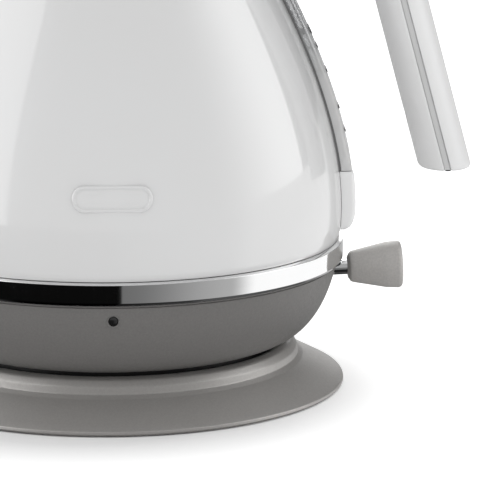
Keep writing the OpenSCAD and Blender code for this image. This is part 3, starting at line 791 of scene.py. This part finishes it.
def window():
    """Clear channel over the slot, closed and rounded at both ends."""
    proud, end_proud, half, corner, foot, rows = 4.3, 1.0, 9.0, 1.4, 0.75, 64
    # The rounded top end's length, the solid ends, and how fast the hollow deepens after each
    nose = 9
    solid_low, solid_top, deepen_low, deepen_top = 1.8, 5, 1.5, 2
    top = WINDOW_TOP - 0.4
    loops = []
    for k in range(rows + 1):
        z = mix(WINDOW_LOW, top, k / rows)
        to_top = top - z
        rise = math.sqrt(max(0.0, 1 - max(0.0, 1 - to_top / nose) ** 2))
        hollow = min(1.0, max(0.0, (z - WINDOW_LOW - solid_low) / deepen_low),
                     max(0.0, (to_top - solid_top) / deepen_top))
        loops.append(rail_section(z, half, mix(end_proud, proud, rise), foot, corner, hollow))
    bm = bmesh.new()
    swept(bm, loops)
    piece("window_channel", bm, CLEAR, "kettle", ["water_window"], sharp=50)


def window_seal():
    """Thin dark gasket between the shell and the window."""
    half, wall, under, over = 9.1, 1.9, 0.02, 0.72
    z0, z1 = WINDOW_LOW - 0.1, WINDOW_TOP - 0.3
    rows = 60
    bm = bmesh.new()
    loops = []
    for lift, inset in ((under, 0), (over, 0), (over, wall), (under, wall)):
        path = [(half - inset, mix(z0 + inset, z1 - inset, k / rows)) for k in range(rows + 1)]
        path += [(-y, z) for y, z in reversed(path)]
        loops.append([on_vessel(y, z, lift, "right") for y, z in path])
    swept(bm, loops, closed=True, caps=False)
    piece("window_gasket_strip", bm, GASKET, "kettle", ["window_gasket"])


def window_heel():
    """White end piece under the window, with a rounded toe."""
    top = WINDOW_LOW - 0.25
    toe_long, toe_proud, swell, full_half, toe_narrows = 8, 1.6, 3.2, 9.5, 1.6
    # How far the rounded upper edge falls back across and outwards
    edge_in, edge_back = 0.35, 0.4
    foot, corner, rows = 0.1, 1.6, 26
    loops = []
    for k in range(rows + 1):
        z = mix(HEEL_LOW, top, k / rows)
        toe = min(1.0, (z - HEEL_LOW) / toe_long)
        shoulder = max(0.0, 1 - (top - z) / 1.0) ** 2
        proud = toe_proud + swell * math.sqrt(1 - (1 - toe) ** 2) - edge_back * shoulder
        taper = 1 - math.sqrt(1 - (1 - min(1, toe * 2)) ** 2)
        half = full_half - toe_narrows * taper - edge_in * shoulder
        loops.append(rail_section(z, half, proud, foot, corner))
    bm = bmesh.new()
    swept(bm, loops)
    piece("window_heel", bm, HEEL_WHITE, "kettle", ["window_foot"], sharp=50)


# --------------------------------------------------------------------------- spout


def spout_frame(u):
    """Centre point and direction of the spout, u from 0 at the root to 1 at the mouth."""
    k = min(int(u * len(SWAN)), len(SWAN) - 1)
    point, way = bezier(SWAN[k], u * len(SWAN) - k)
    return Vector((point.x, 0, point.y)), Vector((way.x, 0, way.y))


def spout_radius(u):
    """Full at the straight root and a little past it, then narrowing evenly to the mouth."""
    per_bend, past = 13, 2
    station = per_bend * (len(SWAN) * u - 1)
    t = max(0.0, (station - past) / (per_bend * (len(SWAN) - 1) - past))
    return mix(SPOUT_ROOT_R, SPOUT_TIP_R, t**0.85)


def circle_across(centre, way, r, sides):
    side = Vector((-way.z, 0, way.x))
    spin = Vector((0, 1, 0))
    angles = [2 * math.pi * k / sides for k in range(sides)]
    return [centre + side * (r * math.cos(a)) + spin * (r * math.sin(a)) for a in angles]


def spout():
    """Gooseneck tube, open from root to mouth, with a softly rolled lip."""
    wall, rows, sides = 1.2, 110, 56
    outside = [(k / rows, 0.0) for k in range(rows + 1)]
    inside = [(1 - k / rows, wall) for k in range(rows + 1)]
    loops = []
    for u, depth in outside + inside:
        centre, way = spout_frame(u)
        loops.append(circle_across(centre, way, spout_radius(u) - depth, sides))
    bm = bmesh.new()
    swept(bm, loops, closed=True, caps=False)
    piece("spout_gooseneck", bm, ENAMEL, "kettle", ["spout_tube"], sharp=60)
    tip, way = spout_frame(1)
    turn = way.to_track_quat("Z", "Y").to_matrix().to_4x4()
    lip = bmesh.new()
    inner = SPOUT_TIP_R + 0.3
    turned(lip, rounded([(inner, -5, 0.2), (inner + 0.9, -5, 0.4), (inner + 0.9, -0.2, 0.4),
                         (inner, 0, 0.2)], closed=True), 72, closed=True,
           place=Matrix.Translation(tip) @ turn)
    piece("spout_lip_ring", lip, CHROME, "kettle", ["spout_tip_ring"])


def spout_flange():
    """Polished rosette at the spout's root, saddled onto the vessel."""
    bore, rim, sides = SPOUT_ROOT_R + 0.15, 18.0, 96
    face = -low("spout_flange").x
    # Radius, lift off the vessel, and how far on the way from the vessel to the flat face
    steps = [(bore, 0.1, 0), (rim, 0.1, 0), (rim, 0, 0.55), (rim - 0.25, 0, 0.75),
             (rim - 0.8, 0, 0.88), (bore + 2.6, 0, 0.97), (bore + 1.2, 0, 1), (bore + 0.3, 0, 1),
             (bore, 0, 0.96)]
    loops = []
    for r, lift, out in steps:
        loop = []
        for k in range(sides):
            a = 2 * math.pi * k / sides
            y, z = r * math.cos(a), SPOUT_Z + r * math.sin(a)
            seat = math.sqrt(vessel_at(z)[0] ** 2 - y * y) + 0.1 + lift
            loop.append(Vector((-mix(seat, max(face, seat + 0.4), out), y, z)))
        loops.append(loop)
    bm = bmesh.new()
    swept(bm, loops, closed=True, caps=False)
    piece("spout_rosette", bm, CHROME, "kettle", ["spout_flange"])


# -------------------------------------------------------------------- collar and lid


def collar():
    """Polished collar that the lid drops into and the handle is fixed to."""
    inside = 38.6
    neck = 41.3
    outline = rounded([
        (inside, SHELL_TOP + 0.3, 0.3), (neck, SHELL_TOP + 0.3, 0.2), (neck + 0.6, COLLAR_LOW, 0.2),
        (COLLAR_R - 1.2, COLLAR_LOW + 1, 0.6), (COLLAR_R, COLLAR_LOW + 3, 1.4),
        (COLLAR_R, COLLAR_TOP - 1.6, 1.4), (COLLAR_R - 1.6, COLLAR_TOP, 0.8),
        (inside + 1, COLLAR_TOP, 0.7), (inside, COLLAR_TOP - 1.2, 0.6),
    ], closed=True)
    bm = bmesh.new()
    turned(bm, outline, 256, closed=True)
    piece("collar_polished", bm, CHROME, "kettle", ["top_collar"])


def lid_cap():
    """Low enamelled dome with a rolled edge."""
    dome = [(3, LID_TOP - 0.2), (14, LID_TOP - 0.2), (32, LID_TOP - 2), (LID_R - 0.5, LID_LOW + 2)]
    top = [(p.x, p.y) for p in curve(dome, 24)]
    edge = rounded([top[-1], (LID_R, LID_LOW + 0.7, 0.7), (LID_R - 0.6, LID_LOW, 0.5),
                    (LID_R - 6, LID_LOW, 0.4), (34, LID_TOP - 5.8)])
    under = [(24, LID_TOP - 3.6), (12, LID_TOP - 2.2), (3, LID_TOP - 2)]
    bm = bmesh.new()
    turned(bm, top + edge[1:] + under, 224, closed=True)
    piece("lid_dome", bm, ENAMEL, "lid", ["lid_cap"])


def knob_outline(hole_deep):
    """Cone with a small flat nose, a short straight end and softly rounded edges."""
    length, r, hole_r = KNOB_LEN, KNOB_R, STEM_R + 0.05
    small = r - 3
    return rounded([
        (0, hole_deep), (hole_r, hole_deep), (hole_r, 0, 0.2), (small - 1.8, 0, 0.8),
        (small - 0.2, 1.0, 1.2), (small + 0.2, 2.2, 2), (r - 0.35, length * 0.7, 9),
        (r, length - 1.4, 1.6), (r - 0.5, length - 0.2, 1.2), (r - 2, length + 0.15, 2),
        (0, length + 0.3),
    ], steps=8)


def lid_knob():
    """Grey cone on a short polished stem, the same shape as the lever's."""
    foot = low("lid_knob").z
    seat = low("lid_stem").z
    hole_deep, flange_r, neck_r, stem_top = 5.7, 5, 3.4, seat + 9
    bm = bmesh.new()
    turned(bm, knob_outline(hole_deep), 96, place=Matrix.Translation((0, 0, foot)))
    piece("lid_cone", bm, KNOB_GREY, "lid", ["lid_knob"])
    stem = bmesh.new()
    outline = rounded([
        (0, seat), (flange_r, seat, 0.2), (flange_r, seat + 1.1, 0.4), (neck_r, seat + 1.3, 0.6),
        (STEM_R, seat + 2.4, 0.6), (STEM_R, stem_top, 0.2), (0, stem_top),
    ])
    turned(stem, outline, 72)
    piece("lid_stem_polished", stem, CHROME, "lid", ["lid_stem"])


# --------------------------------------------------------------------------- lever


def lever_place():
    """The lever's own frame: Z along the stem, from the pivot outwards."""
    lean = math.radians(90 - LEVER_REST)
    return Matrix.Translation(PIVOT) @ Matrix.Rotation(lean, 4, "Y")


def lever():
    """Polished stem, its hub and inner arm, and the grey cone."""
    place = lever_place()
    bm = bmesh.new()
    root, reach = 2, 20
    turned(bm, rounded([(0, root), (STEM_R, root, 0.3), (STEM_R, reach, 0.3), (0, reach)]), 72,
           place=place)
    pin_r, hub_r, hub_half = 1.56, 4, 3.9
    across = Matrix.Translation(PIVOT) @ Matrix.Rotation(math.radians(90), 4, "X")
    hub = rounded([(pin_r, -hub_half), (hub_r, -hub_half, 0.4), (hub_r, hub_half, 0.4),
                   (pin_r, hub_half)], closed=True)
    turned(bm, hub, 64, closed=True, place=across)
    thick, wide, start = 1.5, 2.5, -2.6
    arm = [Vector((x, y, start)) for x, y in
           ((-thick, -wide), (thick, -wide), (thick, wide), (-thick, wide))]
    loops = [[place @ (p + Vector((0, 0, s))) for p in arm] for s in (0, -8, -14, -19.4)]
    swept(bm, loops)
    piece("lever_rod", bm, CHROME, "lever", ["lever_stem"])
    hole_deep = reach - KNOB_START + 0.1
    cone = bmesh.new()
    turned(cone, knob_outline(hole_deep), 96, place=place @ Matrix.Translation((0, 0, KNOB_START)))
    piece("lever_cone", cone, KNOB_GREY, "lever", ["lever_knob"])


# -------------------------------------------------------------------------- handle


def grip_path():
    """Stations from the free end to the arm's root: point, outward direction, rough distance."""
    centre = Vector((BEND_X, 0, ARM_Z - BEND_R))
    out = Vector((math.cos(GRIP_LEAN), 0, math.sin(GRIP_LEAN)))
    down = Vector((math.sin(GRIP_LEAN), 0, -math.cos(GRIP_LEAN)))
    start = centre + out * BEND_R
    length = (start.z - GRIP_LOW) / math.cos(GRIP_LEAN)
    stations = []
    level = Vector((1, 0, 0))
    # The free end is cut level, and the sections turn square to the grip over this length
    soft = 26.0
    # Distances up from the free end, closest where its edge is rounded
    for s in (0, 0.25, 0.6, 1.1, 1.8, 3, 6, 12, 20, 28, 44, 60, 76, 92):
        tilt = max(0.0, 1 - s / soft) ** 2
        way = out.lerp(level, tilt).normalized()
        stations.append((start + down * (length - s), way / way.dot(out), s))
    bend = 26
    turn = math.radians(90) - GRIP_LEAN
    for k in range(bend + 1):
        a = GRIP_LEAN + turn * k / bend
        way = Vector((math.cos(a), 0, math.sin(a)))
        stations.append((centre + way * BEND_R, way, length + k))
    for x in (BEND_X - 5, BEND_X - 10, ARM_END):
        stations.append((Vector((x, 0, ARM_Z)), Vector((0, 0, 1)), length + bend + BEND_X - x))
    return stations


def half_oval(side, seam, count=30, edge=0.7):
    """D section on one side of the seam, with small radii at the seam's edges."""
    a, b = GRIP_T / 2, GRIP_W / 2
    first = math.asin(seam / a)
    corners = []
    for k in range(count + 1):
        angle = mix(first, math.pi - first, k / count)
        corners.append((a * math.sin(angle), b * math.cos(angle)))
    points = [(x, y) for x, y in corners]
    points[0] = (*points[0], edge)
    points[-1] = (*points[-1], edge)
    line = rounded(points, closed=True, steps=4)
    return [Vector((side * p.x, p.y)) for p in line]


def grip_shell(name, side, node):
    section = half_oval(side, GROOVE / 2)
    middle = Vector((side * GRIP_T * 0.22, 0))
    round_end = 1.8
    loops = []
    for point, way, s in grip_path():
        gone = round_end - math.sqrt(max(0.0, round_end**2 - max(0.0, round_end - s) ** 2))
        shrink = 1 - gone / (GRIP_T / 2)
        loop = [middle + (q - middle) * shrink for q in section]
        loops.append([point + way * q.x + Vector((0, q.y, 0)) for q in loop])
    bm = bmesh.new()
    swept(bm, loops)
    cutters = screw_wells() if side < 0 else []
    piece(name, bm, WHITE, "kettle", [node], sharp=50, cutters=cutters)


def screw_wells():
    """Wells for the two screws, in the side of the grip that faces the kettle."""
    centre = Vector((BEND_X, 0, ARM_Z - BEND_R))
    out = Vector((math.cos(GRIP_LEAN), 0, math.sin(GRIP_LEAN)))
    down = Vector((math.sin(GRIP_LEAN), 0, -math.cos(GRIP_LEAN)))
    turn = (-out).to_track_quat("Z", "Y").to_matrix().to_4x4()
    inwards, well_r, floor_at, mouth_at = 4.3, 3.2, -1.9, 12
    wells = []
    for s in GRIP_SCREWS:
        well = bmesh.new()
        at = Matrix.Translation(centre + out * (BEND_R - inwards) + down * s) @ turn
        outline = [(0, floor_at), (well_r, floor_at), (well_r, mouth_at), (0, mouth_at)]
        turned(well, outline, 40, place=at)
        wells.append(well)
    return wells


def grip_strip():
    """Flat bar between the two halves, seen as a recessed strip down each side."""
    thick, reach, end_back = GROOVE / 2 - 0.05, GRIP_W / 2 - 0.9, 0.7
    corners = [(-thick, -reach), (thick, -reach), (thick, reach), (-thick, reach)]
    section = rounded([(*corner, 0.3) for corner in corners], closed=True, steps=3)
    loops = []
    for point, way, s in grip_path():
        rise = Vector((0, 0, end_back if s == 0 else 0))
        loops.append([point + rise + way * q.x + Vector((0, q.y, 0)) for q in section])
    bm = bmesh.new()
    swept(bm, loops)
    piece("grip_strip", bm, STRIP, "kettle", ["handle_spine"], sharp=50)


def bracket():
    """Oval root of the arm, flared onto the collar."""
    rows, sides = 10, 72
    # How far the oval stands out from the arm, and how much more where it meets the collar
    margin, flare, most_up = 0.4, 1.2, 0.6
    loops = []
    for k in range(rows + 1):
        t = k / rows
        grow = margin + flare * (1 - math.sqrt(1 - (1 - min(1, t * 1.6)) ** 2))
        a, b = GRIP_T / 2 + min(grow, most_up), GRIP_W / 2 + grow
        loop = []
        for i in range(sides):
            angle = 2 * math.pi * i / sides
            y, z = b * math.cos(angle), ARM_Z + a * math.sin(angle)
            seat = math.sqrt((COLLAR_R + 0.05) ** 2 - y * y)
            loop.append(Vector((mix(seat, ARM_END - 0.2, t), y, z)))
        loops.append(loop)
    bm = bmesh.new()
    swept(bm, loops)
    piece("arm_root", bm, WHITE, "kettle", ["handle_bracket"])


# --------------------------------------------------------------------- stage and light


def floor():
    bm = bmesh.new()
    bmesh.ops.create_grid(bm, x_segments=2, y_segments=2, size=30)
    obj = new_object("floor", bm)
    obj.data.materials.append(floor_paint())
    obj.visible_glossy = False


def world():
    """Even white light from all round."""
    made = bpy.data.worlds.new("studio")
    made.use_nodes = True
    background = made.node_tree.nodes["Background"]
    background.inputs["Color"].default_value = (1, 1, 1, 1)
    background.inputs["Strength"].default_value = 1.0
    bpy.context.scene.world = made


def step(start, end, value):
    """Smooth 0 to 1 as value goes from start to end."""
    t = min(1.0, max(0.0, (value - start) / (end - start)))
    return t * t * (3 - 2 * t)


def studio_glow(azimuth, height):
    """Brightness that polished faces see, by degrees round from the badge side and degrees up."""
    dim = 0.42
    # Softboxes left and right, a bright wall behind, and a dark card beyond the right-hand box
    box_left = step(-50, -53, azimuth) * step(-165, -150, azimuth)
    box_right = step(50, 96, azimuth) * step(111, 109, azimuth)
    behind = step(160, 166, abs(azimuth))
    card = step(109, 111, azimuth) * step(164, 158, azimuth)
    upper = dim + 1.75 * box_left + 2.1 * box_right + 2.1 * behind - 0.3 * card
    # A panel overhead, brightest over the badge and weak towards the sides
    overhead = mix(0.5, 0.8, step(45, 15, abs(azimuth - 8)))
    overhead = mix(overhead, 0.15, step(75, 115, abs(azimuth)))
    upper = mix(upper, overhead, step(50, 62, height))
    # The table: black left of the badge, lighter to its right and at both sides, dark far below
    table = mix(0.004, mix(0.18, 0.50, step(4, 62, azimuth)), step(3.4, 4.6, azimuth))
    table = mix(table, 1.2, step(58, 74, azimuth) * step(140, 134, azimuth))
    table = mix(table, 0.5, step(-70, -90, azimuth))
    table = table * mix(0.08, 1, step(-36, -24, height))
    # The table's far edge, which stands higher on the right
    edge = mix(-3.5, 1.5, step(45, 85, azimuth))
    return mix(table, upper, step(edge - 0.5, edge + 0.5, height))


def reflections():
    """Dome of softboxes, dark cards and table edge. Only polished faces see it."""
    columns, rows, radius, centre_z = 720, 180, 2.0, 0.06
    lowest, highest = math.radians(-89.5), math.radians(89.5)
    bm = bmesh.new()
    layer = bm.verts.layers.float_color.new("glow")
    rings = []
    for i in range(rows + 1):
        up = mix(lowest, highest, i / rows)
        ring = []
        for k in range(columns):
            azimuth = 360 * k / columns - 180
            a = math.radians(azimuth)
            flat = radius * math.cos(up)
            top = radius * math.sin(up) + centre_z
            vert = bm.verts.new((flat * math.sin(a), -flat * math.cos(a), top))
            vert[layer] = (*[studio_glow(azimuth, math.degrees(up))] * 3, 1)
            ring.append(vert)
        rings.append(ring)
    join_rings(bm, rings)
    obj = new_object("studio_reflections", bm)
    paint = bpy.data.materials.new("studio_glow")
    paint.use_nodes = True
    nodes, links = paint.node_tree.nodes, paint.node_tree.links
    nodes.remove(nodes["Principled BSDF"])
    shade_in = nodes.new("ShaderNodeVertexColor")
    shade_in.layer_name = "glow"
    glow = nodes.new("ShaderNodeEmission")
    links.new(shade_in.outputs["Color"], glow.inputs["Color"])
    links.new(glow.outputs["Emission"], nodes["Material Output"].inputs["Surface"])
    obj.data.materials.append(paint)
    obj.visible_camera = False
    obj.visible_diffuse = False
    obj.visible_shadow = False
    obj.visible_transmission = False
    obj.visible_volume_scatter = False


def camera():
    """The photograph's view: a long lens from the badge side, a little above the kettle."""
    back, up = 1.2, 0.3026
    tilt_down, turn_right = 11.97, 2.41
    data = bpy.data.cameras.new("camera")
    data.sensor_width = 36
    data.lens = 240
    data.clip_end = 100
    obj = bpy.data.objects.new("camera", data)
    bpy.context.scene.collection.objects.link(obj)
    obj.location = (0, -back, up)
    obj.rotation_euler = (math.radians(90 - tilt_down), 0, math.radians(-turn_right))
    bpy.context.scene.camera = obj


camera()
finish_kept_nodes()
base_shell()
cup()
band()
lens()
shell()
badge()
window()
window_seal()
window_heel()
spout()
spout_flange()
collar()
lid_cap()
lid_knob()
lever()
grip_shell("grip_inner", -1, "handle_inner")
grip_shell("grip_outer", 1, "handle_outer")
grip_strip()
bracket()
floor()
world()
reflections()
bpy.context.scene.view_settings.view_transform = "Standard"
